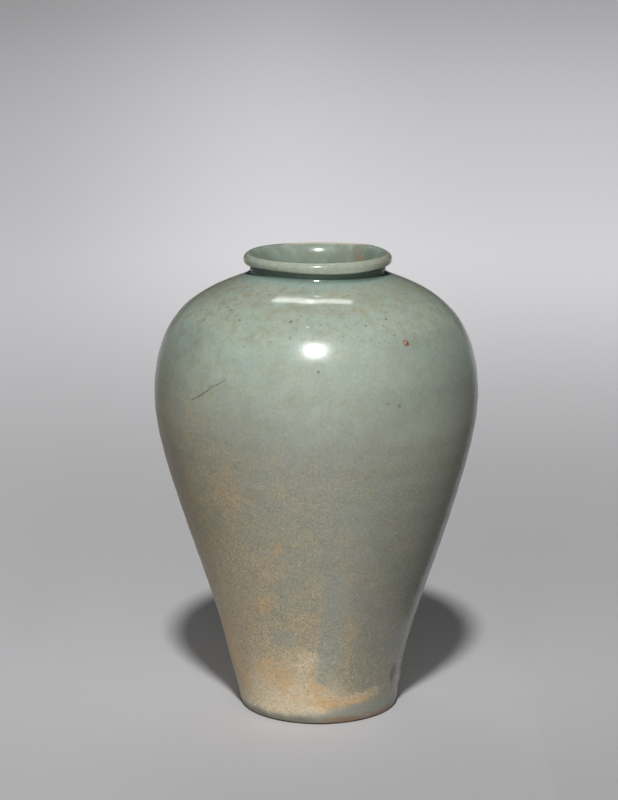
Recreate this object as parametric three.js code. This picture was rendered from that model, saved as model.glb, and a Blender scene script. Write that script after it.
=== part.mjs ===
// A small stoneware jar of the plum-vase form: a narrow foot, a wall that swells to a high, full shoulder,
// a short neck and a thick rolled lip, coated inside and out with a green wood-ash glaze.
// Six clay sections are joined with slip before the firing, and two coats of glass are melted onto them.
// Lengths are in millimetres, +Z is up, and the origin is the middle of the foot's standing face.

import * as THREE from 'three';

// Main sizes, taken on the finished, glazed surface
const JAR_HEIGHT = 130.4; // from the standing face to the top of the lip
const FOOT_RADIUS = 22.9;
const BELLY_RADIUS = 45.5; // at the widest place
const BELLY_HEIGHT = 91; // of the widest place
const NECK_RADIUS = 18.9; // outside, under the lip

// Foot and floor
const FOOT_HEIGHT = 2; // of the foot ring, and so the depth of the hollow under the jar
const FOOT_WIDTH = 5; // of the standing ring
const FOOT_BEVEL = 0.4; // on both edges of the standing face
const BARE_FOOT = 0.5; // height of the strip of clay that the glaze leaves bare
const FLOOR_HEIGHT = 6; // of the inside floor, and of the join between the base and the wall
const FLOOR_CORNER = 6; // reach of the curve between the inside floor and the wall

// Walls, from glazed face to glazed face
const WALL_AT_FLOOR = 5;
const WALL_AT_SEAM = 3.6;
const WALL_AT_NECK_ROOT = 3.4;
const NECK_WALL = 2.9;
const GLAZE_THICKNESS = 0.4;

// Joins of the clay sections
const SEAM_BELOW_BELLY = 15; // where the upper section is set on the lower one

// Neck and lip
const NECK_HEIGHT = 3.6; // from its root on the shoulder to the lip's underside
const NECK_STRAIGHT = 1.2; // upright run under the lip
const NECK_FLARE = 2.6; // how far the root spreads past the neck
const LIP_HEIGHT = 2.9; // from the underside to the crest
const LIP_OVERHANG = 1.8; // how far the lip stands out past the neck
const LIP_EDGE = 1.1; // reach of the tight curve along the underside
const CREST_DROP = 1.4; // from the crest down to the lip's widest place
const CREST_INSET = 1.5; // from the widest place in to the crest
const MOUTH_FLARE_DEPTH = 6; // from the crest to where the throat is narrowest

// Fullness of the curves: how much of a span keeps the direction that the curve starts or ends with
const FOOT_FULLNESS = 0.25; // upright run above the foot, of the belly's height
const BELLY_FULLNESS_BELOW = 0.26; // upright run under the belly, of the belly's height
const BELLY_FULLNESS_ABOVE = 0.76; // upright run over the belly, of the rise from there to the neck
const SHOULDER_FULLNESS = 0.37; // straight run down from the neck, of the shoulder's width
const LIP_EDGE_FULLNESS = 0.75; // of both runs that meet in the lip's lower edge
const LIP_FACE_FULLNESS = 0.55; // of both runs that meet in the lip's outer face
const CREST_FULLNESS = 0.45; // level run from the crest into the mouth, of the flare's width
const THROAT_FULLNESS = 0.58; // upright run over the narrowest place, of the flare's drop
const SHOULDER_SLOPE = THREE.MathUtils.degToRad(22); // at the root of the neck

// Faces round the jar and along each stretch of its outline
const ROUND_STEPS = 40;
const FOOT_STEPS = 1;
const BASE_STEPS = 1;
const LOWER_STEPS = 6;
const SEAM_TO_BELLY_STEPS = 2;
const SHOULDER_STEPS = 8;
const NECK_STEPS = 3;
const LIP_EDGE_STEPS = 4;
const LIP_FACE_STEPS = 4;
const THROAT_STEPS = 5;
const CORNER_STEPS = 3;
const HALVINGS = 40; // of a curve, when looking for a height on it

// Heights and radii that follow from the sizes above
const seamHeight = BELLY_HEIGHT - SEAM_BELOW_BELLY;
const lipRadius = NECK_RADIUS + LIP_OVERHANG;
const lipWidestHeight = JAR_HEIGHT - CREST_DROP;
const crestRadius = lipRadius - CREST_INSET;
const undersideHeight = JAR_HEIGHT - LIP_HEIGHT;
const neckRootHeight = undersideHeight - NECK_HEIGHT;
const neckRootRadius = NECK_RADIUS + NECK_FLARE;
const throatRadius = NECK_RADIUS - NECK_WALL;
const throatHeight = JAR_HEIGHT - MOUTH_FLARE_DEPTH;

// Outline points hold the radius in x and the height in y.
const point = (radius, height) => new THREE.Vector2(radius, height);

// Where a rising curve reaches a height, from 0 at its start to 1 at its end.
function shareAtHeight(curve, height) {
  let low = 0;
  let high = 1;
  for (let step = 0; step < HALVINGS; step += 1) {
    const middle = (low + high) / 2;
    if (curve.getPoint(middle).y < height) {
      low = middle;
    } else {
      high = middle;
    }
  }
  return (low + high) / 2;
}

// Points at even steps along a curve, both ends included.
function along(curve, steps, from = 0, to = 1) {
  const shares = Array.from({ length: steps + 1 }, (_, i) => THREE.MathUtils.lerp(from, to, i / steps));
  return shares.map((share) => curve.getPoint(share));
}

// Stretches that meet end to end, as one list of points.
function join(...stretches) {
  return stretches.reduce((all, next) => [...all, ...next.slice(1)]);
}

// Unit vector to the left of the way from one point to the next: on these outlines that side is clay.
function leftOf(from, to) {
  const way = to.clone().sub(from).normalize();
  return point(-way.y, way.x);
}

// The outline moved to its left, by a depth for each point, with its corners kept as corners.
function inset(points, depths) {
  const last = points.length - 1;
  return points.map((here, i) => {
    const before = i > 0 ? leftOf(points[i - 1], here) : leftOf(here, points[1]);
    const after = i < last ? leftOf(here, points[i + 1]) : before;
    const middle = before.clone().add(after).normalize();
    return here.clone().addScaledVector(middle, depths[i] / middle.dot(before));
  });
}

// Outside of the wall: one curve from the foot to the belly, one from the belly to the root of the neck.
const lowerCurve = new THREE.CubicBezierCurve(
  point(FOOT_RADIUS, 0),
  point(FOOT_RADIUS, BELLY_HEIGHT * FOOT_FULLNESS),
  point(BELLY_RADIUS, BELLY_HEIGHT * (1 - BELLY_FULLNESS_BELOW)),
  point(BELLY_RADIUS, BELLY_HEIGHT),
);
const shoulderRise = (neckRootHeight - BELLY_HEIGHT) * BELLY_FULLNESS_ABOVE;
const shoulderRun = (BELLY_RADIUS - neckRootRadius) * SHOULDER_FULLNESS;
const shoulderCurve = new THREE.CubicBezierCurve(
  point(BELLY_RADIUS, BELLY_HEIGHT),
  point(BELLY_RADIUS, BELLY_HEIGHT + shoulderRise),
  point(neckRootRadius + shoulderRun, neckRootHeight - shoulderRun * Math.tan(SHOULDER_SLOPE)),
  point(neckRootRadius, neckRootHeight),
);
const glazeStop = shareAtHeight(lowerCurve, BARE_FOOT);
const footTop = shareAtHeight(lowerCurve, FOOT_HEIGHT);
const baseTop = shareAtHeight(lowerCurve, FLOOR_HEIGHT);
const seam = shareAtHeight(lowerCurve, seamHeight);
const footOut = along(lowerCurve, FOOT_STEPS, glazeStop, footTop);
const baseOut = along(lowerCurve, BASE_STEPS, footTop, baseTop);
const lowerOut = along(lowerCurve, LOWER_STEPS, baseTop, seam);
const seamToBelly = along(lowerCurve, SEAM_TO_BELLY_STEPS, seam, 1);
const shoulderOut = join(seamToBelly, along(shoulderCurve, SHOULDER_STEPS));

// Outside of the neck, from its root up to the sharp corner under the lip.
const neckCurve = new THREE.QuadraticBezierCurve(
  point(neckRootRadius, neckRootHeight),
  point(NECK_RADIUS, neckRootHeight + NECK_FLARE * Math.tan(SHOULDER_SLOPE)),
  point(NECK_RADIUS, undersideHeight - NECK_STRAIGHT),
);
const neckOut = [...along(neckCurve, NECK_STEPS), point(NECK_RADIUS, undersideHeight)];

// Outside of the lip: a tight lower edge, then a full face that rolls over to the crest.
const lipEdgeRun = LIP_EDGE * LIP_EDGE_FULLNESS;
const lipEdgeRise = (lipWidestHeight - undersideHeight) * LIP_EDGE_FULLNESS;
const lipEdgeCurve = new THREE.CubicBezierCurve(
  point(lipRadius - LIP_EDGE, undersideHeight),
  point(lipRadius - LIP_EDGE + lipEdgeRun, undersideHeight),
  point(lipRadius, lipWidestHeight - lipEdgeRise),
  point(lipRadius, lipWidestHeight),
);
const lipFaceCurve = new THREE.CubicBezierCurve(
  point(lipRadius, lipWidestHeight),
  point(lipRadius, lipWidestHeight + CREST_DROP * LIP_FACE_FULLNESS),
  point(crestRadius + CREST_INSET * (1 - LIP_FACE_FULLNESS), JAR_HEIGHT),
  point(crestRadius, JAR_HEIGHT),
);
const lipUnderside = [point(NECK_RADIUS, undersideHeight), point(lipRadius - LIP_EDGE, undersideHeight)];
const lipEdge = along(lipEdgeCurve, LIP_EDGE_STEPS);
const lipOut = join(lipUnderside, lipEdge, along(lipFaceCurve, LIP_FACE_STEPS));

// Inside of the wall: the outside moved in by the wall, which thins from the floor to the neck.
const wallDepths = [
  ...lowerOut.map((_, i) => THREE.MathUtils.lerp(WALL_AT_FLOOR, WALL_AT_SEAM, i / (lowerOut.length - 1))),
  ...shoulderOut.slice(1).map((_, i) => (
    THREE.MathUtils.lerp(WALL_AT_SEAM, WALL_AT_NECK_ROOT, (i + 1) / (shoulderOut.length - 1))
  )),
];
const wallInside = inset(join(lowerOut, shoulderOut), wallDepths);
const lowerIn = wallInside.slice(0, lowerOut.length).reverse();
const shoulderIn = wallInside.slice(lowerOut.length - 1).reverse();

// Inside of the mouth: a round flare from the crest down to the throat, then the spread into the shoulder.
const innerRoot = shoulderIn[0];
const flareWidth = crestRadius - throatRadius;
const throatCurve = new THREE.CubicBezierCurve(
  point(crestRadius, JAR_HEIGHT),
  point(crestRadius - flareWidth * CREST_FULLNESS, JAR_HEIGHT),
  point(throatRadius, throatHeight + MOUTH_FLARE_DEPTH * THROAT_FULLNESS),
  point(throatRadius, throatHeight),
);
const innerNeckCurve = new THREE.QuadraticBezierCurve(
  point(throatRadius, throatHeight),
  point(throatRadius, innerRoot.y + (innerRoot.x - throatRadius) * Math.tan(SHOULDER_SLOPE)),
  innerRoot,
);
const throatIn = along(throatCurve, THROAT_STEPS);
const neckIn = along(innerNeckCurve, NECK_STEPS);

// Inside floor, with the thrown curve where it meets the wall.
const wallFoot = lowerIn[lowerIn.length - 1];
const cornerCurve = new THREE.QuadraticBezierCurve(
  wallFoot,
  point(wallFoot.x, FLOOR_HEIGHT),
  point(wallFoot.x - FLOOR_CORNER, FLOOR_HEIGHT),
);
const floorIn = [...along(cornerCurve, CORNER_STEPS), point(0, FLOOR_HEIGHT)];

// The glazed surface runs up the outside, over the lip and down the inside to the middle of the floor.
// The clay surface lies under it by the glaze's thickness, point for point, so that no gaps are left.
const surface = {
  footOut, baseOut, lowerOut, shoulderOut, neckOut, lipOut, throatIn, neckIn, shoulderIn, lowerIn, floorIn,
};

function underGlaze(stretches) {
  const outline = join(...Object.values(stretches));
  const clayOutline = inset(outline, outline.map(() => GLAZE_THICKNESS));
  let start = 0;
  const pieces = Object.entries(stretches).map(([name, stretch]) => {
    const end = start + stretch.length;
    const piece = [name, clayOutline.slice(start, end)];
    start = end - 1;
    return piece;
  });
  return Object.fromEntries(pieces);
}

const clay = underGlaze(surface);

// A ring turned from a closed outline, or a disc or bowl from an outline that starts and ends on the axis.
function turned(name, outline, look) {
  const closed = outline[0].x === 0 ? outline : [...outline, outline[0]];
  const geometry = new THREE.LatheGeometry(closed, ROUND_STEPS);
  geometry.rotateX(Math.PI / 2);
  const mesh = new THREE.Mesh(geometry, new THREE.MeshStandardMaterial({ metalness: 0, ...look }));
  mesh.name = name;
  return mesh;
}

// Colours and finish, as the fired jar shows them
const bareClay = { color: 0x8a6a4c, roughness: 0.9 };
const bodyClay = { color: 0x9b958a, roughness: 0.85 };
const outerGlass = { color: 0x9ea795, roughness: 0.3 };
const innerGlass = { color: 0x8c9787, roughness: 0.35 };

// The foot ring stands proud by the glaze's thickness, so the glaze ends flush against it.
function footRing() {
  const innerRadius = FOOT_RADIUS - FOOT_WIDTH;
  const outline = [
    point(innerRadius, FOOT_BEVEL),
    point(innerRadius + FOOT_BEVEL, 0),
    point(FOOT_RADIUS - FOOT_BEVEL, 0),
    point(FOOT_RADIUS, FOOT_BEVEL),
    surface.footOut[0],
    ...clay.footOut,
    point(innerRadius, clay.footOut[clay.footOut.length - 1].y),
  ];
  return turned('foot_ring', outline, bareClay);
}

// The base is the slab that the wall is raised on; its underside is the roof of the hollow in the foot.
function baseDisc() {
  const underside = point(0, clay.baseOut[0].y);
  return turned('base_disc', [underside, ...clay.baseOut, ...clay.floorIn], bodyClay);
}

function lowerWall() {
  return turned('lower_wall', [...clay.lowerOut, ...clay.lowerIn], bodyClay);
}

function shoulderWall() {
  return turned('shoulder_wall', [...clay.shoulderOut, ...clay.shoulderIn], bodyClay);
}

function neckCollar() {
  return turned('neck_collar', [...clay.neckOut, ...clay.neckIn], bodyClay);
}

function rolledLip() {
  return turned('rolled_lip', join(clay.lipOut, clay.throatIn), bodyClay);
}

// A glaze coat lies between the glazed surface and the clay surface, over the named stretches.
function coat(names) {
  const glazed = join(...names.map((name) => surface[name]));
  const under = join(...names.map((name) => clay[name]));
  return [...under.reverse(), ...glazed];
}

function outerGlaze() {
  const outline = coat(['footOut', 'baseOut', 'lowerOut', 'shoulderOut', 'neckOut', 'lipOut']);
  return turned('outer_glaze', outline, outerGlass);
}

function innerGlaze() {
  const outline = coat(['throatIn', 'neckIn', 'shoulderIn', 'lowerIn', 'floorIn']);
  return turned('inner_glaze', outline, innerGlass);
}

const jar = new THREE.Group();
jar.name = 'miniature_jar';
jar.add(footRing(), baseDisc(), lowerWall(), shoulderWall(), neckCollar(), rolledLip());
jar.add(outerGlaze(), innerGlaze());

export default jar;
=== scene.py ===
# %% [markdown]
# # A small celadon jar
# The real jar is stoneware: a narrow foot, a wall that swells to a high shoulder, a short neck and a rolled
# lip, under a green-grey ash glaze that the kiln toasted to ochre on one side of the foot.
# The frame holds eight plain solids of it, six of clay and two of glass.
# We could paint those solids as they are, but they have flat facets. So each one is made again as a fine,
# slightly uneven piece in the same place, and all the finishes are drawn with nodes.

# %% Load the frame
import math
import bmesh
import bpy
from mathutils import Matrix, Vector, geometry, noise


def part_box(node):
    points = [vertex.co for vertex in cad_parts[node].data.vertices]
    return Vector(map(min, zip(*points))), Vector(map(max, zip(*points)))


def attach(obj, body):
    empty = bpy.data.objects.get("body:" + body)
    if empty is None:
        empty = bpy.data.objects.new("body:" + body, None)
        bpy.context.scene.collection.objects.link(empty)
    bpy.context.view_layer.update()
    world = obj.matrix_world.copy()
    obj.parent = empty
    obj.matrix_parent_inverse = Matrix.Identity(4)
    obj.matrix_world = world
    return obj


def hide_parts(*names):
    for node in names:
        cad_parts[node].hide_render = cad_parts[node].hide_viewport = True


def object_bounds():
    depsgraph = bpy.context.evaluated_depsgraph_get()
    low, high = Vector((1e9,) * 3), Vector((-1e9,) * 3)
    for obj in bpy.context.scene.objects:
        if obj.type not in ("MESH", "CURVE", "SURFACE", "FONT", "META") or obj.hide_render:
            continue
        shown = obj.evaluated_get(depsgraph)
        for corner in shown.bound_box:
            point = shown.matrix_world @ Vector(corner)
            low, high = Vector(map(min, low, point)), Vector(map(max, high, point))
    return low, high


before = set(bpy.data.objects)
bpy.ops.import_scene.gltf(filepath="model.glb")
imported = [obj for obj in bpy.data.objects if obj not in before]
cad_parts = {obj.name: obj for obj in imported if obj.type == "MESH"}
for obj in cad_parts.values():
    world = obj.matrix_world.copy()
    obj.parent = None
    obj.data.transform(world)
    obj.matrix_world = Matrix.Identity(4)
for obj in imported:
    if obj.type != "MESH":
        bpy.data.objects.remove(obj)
cad_low, cad_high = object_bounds()
print("the frame holds", len(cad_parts), "solids, up to", round(cad_high.z, 4), "m high")

# %% [markdown]
# ## The outline of the jar
# A thrown jar is a turned form, so one outline in the plane of X and Z says everything about its shape.
# We could type in many points. A few Bezier curves are better, because each one is a stroke that a potter
# makes: up from the foot to the belly, over the shoulder, out of the neck, and round the lip.
# The main sizes are read from the frame's boxes, so the fine jar stays on the solids.

# %% Sizes
MM = 0.001

FOOT_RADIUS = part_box("foot_ring")[1].x
BELLY_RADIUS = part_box("outer_glaze")[1].x
JAR_HEIGHT = cad_high.z
GLAZE_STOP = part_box("outer_glaze")[0].z
BELLY_HEIGHT = 91 * MM
NECK_RADIUS = 18.9 * MM
NECK_ROOT_RADIUS = 21.5 * MM
NECK_HEIGHT = 3.6 * MM
NECK_STRAIGHT = 1.2 * MM
SHOULDER_SLOPE = math.tan(math.radians(22))
LIP_HEIGHT = 2.9 * MM
LIP_RADIUS = 20.7 * MM

underside = JAR_HEIGHT - LIP_HEIGHT
neck_root = underside - NECK_HEIGHT
print("belly", round(BELLY_RADIUS / MM, 1), "mm, neck root at", round(neck_root / MM, 2), "mm")


# %% Strokes of the outline
def at(radius, height):
    """A point of the outline, which lies in the plane of X and Z."""
    return Vector((radius, 0, height))


def curve(start, handle, end_handle, end, steps):
    """Points along a Bezier curve, both ends included."""
    return geometry.interpolate_bezier(start, handle, end_handle, end, steps + 1)


def bow(start, corner, end, steps):
    """A curve that leaves its start towards a corner and comes to its end from there."""
    return curve(start, start.lerp(corner, 2 / 3), end.lerp(corner, 2 / 3), end, steps)


def level(points, height):
    """The point where a rising outline reaches a height, or its last point."""
    pairs = zip(points, points[1:])
    below, above = next(((a, b) for a, b in pairs if b.z >= height), points[-2:])
    return below.lerp(above, (height - below.z) / (above.z - below.z))


def cut(points, low, high):
    """The part of a rising outline between two heights, with its ends on those heights."""
    spare = 0.1 * MM
    inside = [p for p in points if low + spare < p.z < high - spare]
    return [level(points, low), *inside, level(points, high)]


print("a bow of 4 steps has", len(bow(at(1, 0), at(1, 1), at(0, 1), steps=4)), "points")


# %% Outside of the wall
# the handles reach along their curves by these shares
FOOT_HANDLE = 0.25
BELLY_HANDLE = 0.74
SHOULDER_HANDLE = 0.76
NECK_HANDLE = 0.37

to_belly = curve(
    at(FOOT_RADIUS, 0),
    at(FOOT_RADIUS, FOOT_HANDLE * BELLY_HEIGHT),
    at(BELLY_RADIUS, BELLY_HANDLE * BELLY_HEIGHT),
    at(BELLY_RADIUS, BELLY_HEIGHT),
    steps=72,
)
shoulder_reach = NECK_HANDLE * (BELLY_RADIUS - NECK_ROOT_RADIUS)
over_shoulder = curve(
    at(BELLY_RADIUS, BELLY_HEIGHT),
    at(BELLY_RADIUS, BELLY_HEIGHT + SHOULDER_HANDLE * (neck_root - BELLY_HEIGHT)),
    at(NECK_ROOT_RADIUS + shoulder_reach, neck_root - shoulder_reach * SHOULDER_SLOPE),
    at(NECK_ROOT_RADIUS, neck_root),
    steps=44,
)
up_neck = bow(
    at(NECK_ROOT_RADIUS, neck_root),
    at(NECK_RADIUS, neck_root + (NECK_ROOT_RADIUS - NECK_RADIUS) * SHOULDER_SLOPE),
    at(NECK_RADIUS, underside - NECK_STRAIGHT),
    steps=10,
)
print("three strokes up to the lip:", len(to_belly), len(over_shoulder), len(up_neck), "points")

# %% Round the lip
LIP_EDGE = 1.1 * MM
CREST_DROP = 1.4 * MM
CREST_RADIUS = 19.2 * MM
EDGE_HANDLE = 0.25
FACE_HANDLE = 0.55
CREST_HANDLE = 0.45

lip_widest = at(LIP_RADIUS, JAR_HEIGHT - CREST_DROP)
crest = at(CREST_RADIUS, JAR_HEIGHT)
lip_edge = curve(
    at(LIP_RADIUS - LIP_EDGE, underside),
    at(LIP_RADIUS - EDGE_HANDLE * LIP_EDGE, underside),
    at(LIP_RADIUS, underside + EDGE_HANDLE * (lip_widest.z - underside)),
    lip_widest,
    steps=14,
)
lip_face = curve(
    lip_widest,
    lip_widest + at(0, FACE_HANDLE * CREST_DROP),
    crest + at(CREST_HANDLE * (LIP_RADIUS - CREST_RADIUS), 0),
    crest,
    steps=16,
)
print("the lip's edge and face:", len(lip_edge), len(lip_face), "points")

# %% Stretches of the outside
FOOT_HEIGHT = 2 * MM
FLOOR_HEIGHT = 6 * MM
SEAM_HEIGHT = 76 * MM

glazed = {
    "foot": cut(to_belly, GLAZE_STOP, FOOT_HEIGHT),
    "base": cut(to_belly, FOOT_HEIGHT, FLOOR_HEIGHT),
    "lower": cut(to_belly, FLOOR_HEIGHT, SEAM_HEIGHT),
    "shoulder": cut(to_belly, SEAM_HEIGHT, BELLY_HEIGHT) + over_shoulder[1:],
    "neck": up_neck + [at(NECK_RADIUS, underside)],
    "lip": [at(NECK_RADIUS, underside)] + lip_edge + lip_face[1:],
}
print("outside:", sum(len(stretch) for stretch in glazed.values()), "points in", len(glazed), "stretches")

# %% [markdown]
# ## The inside of the wall
# A potter feels the wall between two hands, thick at the floor and thinner towards the neck.
# So the inside is the outside moved in, by a depth that changes evenly from one to the other.
# The same step, with one small depth, gives the face of the clay under the glaze.


# %% Move an outline into the clay
def left_of(start, end):
    """The way to the left of a step along the outline, one unit long."""
    way = (end - start).normalized()
    return Vector((-way.z, 0, way.x))


def inset(points, depths):
    """The outline moved to its left, where the clay is, with its corners kept."""
    moved = []
    for i, here in enumerate(points):
        before = left_of(points[i - 1], here) if i > 0 else left_of(here, points[1])
        after = left_of(here, points[i + 1]) if i < len(points) - 1 else before
        middle = (before + after).normalized()
        moved.append(here + middle * depths[i] / middle.dot(before))
    return moved


def even(start, end, count):
    """Depths that change evenly from one wall to another."""
    return [start + (end - start) * i / (count - 1) for i in range(count)]


print("from 5 to 3 mm in 5 points:", even(5, 3, 5))


# %% Inside of the wall
WALL_AT_FLOOR = 5 * MM
WALL_AT_SEAM = 3.6 * MM
WALL_AT_NECK = 3.4 * MM

wall = glazed["lower"] + glazed["shoulder"][1:]
lower_count = len(glazed["lower"])
wall_depths = even(WALL_AT_FLOOR, WALL_AT_SEAM, lower_count)
wall_depths += even(WALL_AT_SEAM, WALL_AT_NECK, len(wall) - lower_count + 1)[1:]
inside_wall = inset(wall, wall_depths)
print("the inside of the wall has", len(inside_wall), "points")

# %% Throat and floor
THROAT_RADIUS = 16 * MM
THROAT_HANDLE = 0.58
MOUTH_FLARE = 6 * MM
FLOOR_CORNER = 6 * MM
FLOOR_STEPS = 6

throat_height = JAR_HEIGHT - MOUTH_FLARE
into_throat = curve(
    crest,
    crest - at(CREST_HANDLE * (CREST_RADIUS - THROAT_RADIUS), 0),
    at(THROAT_RADIUS, throat_height + THROAT_HANDLE * MOUTH_FLARE),
    at(THROAT_RADIUS, throat_height),
    steps=24,
)
inner_root = inside_wall[-1]
inner_corner = at(THROAT_RADIUS, inner_root.z + (inner_root.x - THROAT_RADIUS) * SHOULDER_SLOPE)
wall_foot = inside_wall[0]
floor_edge = at(wall_foot.x - FLOOR_CORNER, FLOOR_HEIGHT)
floor_curve = bow(wall_foot, at(wall_foot.x, FLOOR_HEIGHT), floor_edge, steps=10)
floor_rings = [floor_edge.lerp(at(0, FLOOR_HEIGHT), (i + 1) / FLOOR_STEPS) for i in range(FLOOR_STEPS)]

glazed["throat"] = into_throat
glazed["inner neck"] = bow(at(THROAT_RADIUS, throat_height), inner_corner, inner_root, steps=10)
glazed["inner shoulder"] = inside_wall[lower_count - 1:][::-1]
glazed["inner lower"] = inside_wall[:lower_count][::-1]
glazed["floor"] = floor_curve + floor_rings
print("inside reaches a throat of", round(2 * THROAT_RADIUS / MM, 1), "mm across")

# %% Face of the clay under the glaze
GLAZE = 0.4 * MM


def joined(outline, names):
    """Stretches that meet end to end, as one list of points."""
    points = list(outline[names[0]])
    for name in names[1:]:
        points += outline[name][1:]
    return points


def under_glaze():
    """The clay's own outline, which lies under the glazed one point for point."""
    whole = joined(glazed, list(glazed))
    face = inset(whole, [GLAZE] * len(whole))
    clay_outline = {}
    start = 0
    for name, stretch in glazed.items():
        end = start + len(stretch)
        clay_outline[name] = face[start:end]
        start = end - 1
    return clay_outline


clay = under_glaze()
print("glaze:", round(GLAZE / MM, 2), "mm over", len(clay), "stretches of clay")

# %% [markdown]
# ## The potter's hand
# No thrown jar is a perfect turned form. This one leans a little to the left at the shoulder, its lip rises
# and dips, and fingers left faint rings in the wall. The foot is tucked in on the left, has a small scar on
# the right, and its lower edge is worn round. One function moves every point of the perfect form to where the
# hand left it. All pieces go through it, so the glass stays on the clay.

# %% Soft steps and humps
def ease(value, low, high):
    """0 before low, 1 past high, and smooth between them; low may be the larger one."""
    share = min(max((value - low) / (high - low), 0), 1)
    return share * share * (3 - 2 * share)


def hump(value, spread):
    """1 at zero, falling smoothly to nothing past the spread."""
    return math.exp(-(value / spread) ** 2)


def apart(angle, other):
    """Degrees between two angles, the short way round."""
    return (angle - other + 180) % 360 - 180


def waves(angle, humps):
    """How far a row of humps lifts the lip at an angle."""
    return sum(rise * hump(apart(angle, middle), spread) for middle, rise, spread in humps)


print("half a step eases to", ease(0.5, 0, 1), "and a hump at its spread is", round(hump(1, 1), 2))

# %% Marks of the hand
LEAN = 0.4 * MM
LEAN_START = (15 * MM, 105 * MM)
LEAN_END = (114 * MM, 125 * MM)
WALL_START = (4 * MM, 30 * MM)
WALL_END = (118 * MM, 125 * MM)
RING_PITCH = 7 * MM
RING_DEPTH = 0.03 * MM
UNEVEN_SIZE = 34 * MM
UNEVEN_DEPTH = 0.13 * MM
NECK_LEVEL = 125.5 * MM
EDGE_START = (NECK_LEVEL, 127.4 * MM)
CREST_START = (128.2 * MM, 129.8 * MM)
# degrees from the front, rise, spread in degrees
CREST_WAVES = (
    (130, 0.35 * MM, 20),
    (-125, 0.20 * MM, 26),
)
EDGE_WAVES = (
    (-42, 0.36 * MM, 22),
    (8, -0.15 * MM, 14),
    (28, -0.32 * MM, 17),
)
print("the lip rises by", round(max(wave[1] for wave in CREST_WAVES) / MM, 2), "mm at most")

# %% Marks on the foot
FOOT_TUCK = 0.8 * MM
TUCK_HEIGHT = 1 * MM
TUCK_SPREAD = 7 * MM
FOOT_SWELL = 0.42 * MM
SWELL_HEIGHT = 15 * MM
SWELL_SPREAD = 9 * MM
FOOT_ROUND = 0.6 * MM
ROUND_BAND = (1.9 * MM, 0)
SCAR_ANGLE = 86
SCAR_TURN = 6
SCAR_HEIGHT = 8.2 * MM
SCAR_SPREAD = 1.5 * MM
SCAR_RISE = 0.35 * MM
print("the foot's edge is worn by", round(FOOT_ROUND / MM, 2), "mm")


# %% How the hand moves a point
def by_hand(point):
    """Where the potter's hand left a point of the perfect form."""
    angle = math.degrees(math.atan2(point.x, -point.y))
    outward = Vector((point.x, point.y, 0)).normalized()
    if point.z > NECK_LEVEL:
        in_crest = ease(point.z, *CREST_START)
        in_edge = ease(point.z, *EDGE_START) * (1 - in_crest)
        lift = in_crest * waves(angle, CREST_WAVES) + in_edge * waves(angle, EDGE_WAVES)
        return point + Vector((0, 0, lift))
    in_wall = ease(point.z, *WALL_START) * (1 - ease(point.z, *WALL_END))
    lean = LEAN * ease(point.z, *LEAN_START) * (1 - ease(point.z, *LEAN_END))
    rings = RING_DEPTH * math.sin(2 * math.pi * point.z / RING_PITCH + math.radians(angle))
    uneven = UNEVEN_DEPTH * noise.noise(point / UNEVEN_SIZE)
    scar = SCAR_RISE * hump(apart(angle, SCAR_ANGLE), SCAR_TURN) * hump(point.z - SCAR_HEIGHT, SCAR_SPREAD)
    left = max(0, -math.sin(math.radians(angle)))
    swell = FOOT_SWELL * hump(point.z - SWELL_HEIGHT, SWELL_SPREAD)
    tuck = FOOT_TUCK * hump(point.z - TUCK_HEIGHT, TUCK_SPREAD)
    worn = FOOT_ROUND * ease(point.z, *ROUND_BAND)
    push = in_wall * (rings + uneven) + scar + left * (swell - tuck) - worn
    return point + outward * push - Vector((lean, 0, 0))


right_side = by_hand(at(BELLY_RADIUS, BELLY_HEIGHT))
print("the right of the belly goes to", [round(v / MM, 2) for v in right_side], "mm")

# %% [markdown]
# ## Turning the pieces
# Each clay section and each coat of glass is a closed ring or bowl, so its outline is a closed loop.
# A Screw modifier could turn it. The spin operator does the same at once and leaves a plain mesh,
# which can then be merged on the axis and moved by the hand.

# %% Spin an outline
ROUND_STEPS = 192
MERGE_REACH = 0.001 * MM
CREASE = math.radians(50)


def in_scene(name, shape):
    """A new object made from a shape and linked to the scene."""
    mesh = bpy.data.meshes.new(name)
    shape.to_mesh(mesh)
    shape.free()
    piece = bpy.data.objects.new(name, mesh)
    bpy.context.scene.collection.objects.link(piece)
    return piece


def turned(name, outline):
    """A piece turned from a closed outline, or from one that starts and ends on the axis."""
    shape = bmesh.new()
    verts = [shape.verts.new(point) for point in outline]
    edges = [shape.edges.new(pair) for pair in zip(verts, verts[1:])]
    if outline[0].x > 0:
        edges.append(shape.edges.new((verts[-1], verts[0])))
    bmesh.ops.spin(
        shape, geom=verts + edges, cent=(0, 0, 0), axis=(0, 0, 1),
        angle=2 * math.pi, steps=ROUND_STEPS, use_merge=True,
    )
    bmesh.ops.remove_doubles(shape, verts=shape.verts, dist=MERGE_REACH)
    for vert in shape.verts:
        vert.co = by_hand(vert.co)
    bmesh.ops.recalc_face_normals(shape, faces=shape.faces)
    for face in shape.faces:
        face.smooth = True
    piece = in_scene(name, shape)
    piece.data.set_sharp_from_angle(angle=CREASE)
    print(name, "has", len(piece.data.polygons), "faces")
    return piece


print("one turn takes", ROUND_STEPS, "steps")


# %% Clay sections
FOOT_WIDTH = 5 * MM
FOOT_BEVEL = 0.4 * MM
BEVEL_STEPS = 4
SLAB_STEPS = 8

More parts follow.
